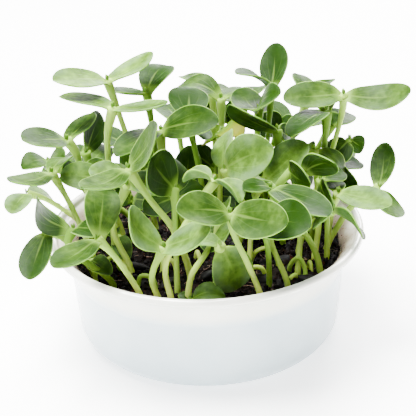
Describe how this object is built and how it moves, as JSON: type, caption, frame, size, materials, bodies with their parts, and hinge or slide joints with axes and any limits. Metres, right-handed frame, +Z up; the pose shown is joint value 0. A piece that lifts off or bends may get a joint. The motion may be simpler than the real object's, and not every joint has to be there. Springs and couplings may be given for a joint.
{
  "type": "bowl of sunflower microgreens",
  "caption": "Round white flared bowl of dark soil with a thick stand of young sunflower seedlings, each a pale stem with two rounded green seed leaves, leaning out over the rim.",
  "frame": {"origin": "middle of the bowl's flat underside, on the surface it stands on", "axes": "+Z up; -Y towards the side with the lowest, most open stems; +X to the right when looking from there"},
  "size_m": [0.1686, 0.1472, 0.1168],
  "materials": {
    "bowl": "gloss",
    "soil": "matte",
    "seedling": "satin"
  },
  "bodies": {
    "root": {"bowl": "bowl", "soil": "soil", "seedling_01": "seedling", "seedling_02": "seedling", "seedling_03": "seedling", "seedling_04": "seedling", "seedling_05": "seedling", "seedling_06": "seedling", "seedling_07": "seedling", "seedling_08": "seedling", "seedling_09": "seedling", "seedling_10": "seedling", "seedling_11": "seedling", "seedling_12": "seedling", "seedling_13": "seedling", "seedling_14": "seedling", "seedling_15": "seedling", "seedling_16": "seedling", "seedling_17": "seedling", "seedling_18": "seedling", "seedling_19": "seedling", "seedling_20": "seedling", "seedling_21": "seedling", "seedling_22": "seedling", "seedling_23": "seedling", "seedling_24": "seedling", "seedling_25": "seedling", "seedling_26": "seedling", "seedling_27": "seedling", "seedling_28": "seedling", "seedling_29": "seedling", "seedling_30": "seedling", "seedling_31": "seedling", "seedling_32": "seedling", "seedling_33": "seedling", "seedling_34": "seedling", "seedling_35": "seedling", "seedling_36": "seedling", "seedling_37": "seedling", "seedling_38": "seedling", "seedling_39": "seedling", "seedling_40": "seedling", "seedling_41": "seedling", "seedling_42": "seedling", "seedling_43": "seedling", "seedling_44": "seedling", "seedling_45": "seedling", "seedling_46": "seedling", "seedling_47": "seedling", "seedling_48": "seedling", "seedling_49": "seedling", "seedling_50": "seedling"}
  },
  "joints": []
}
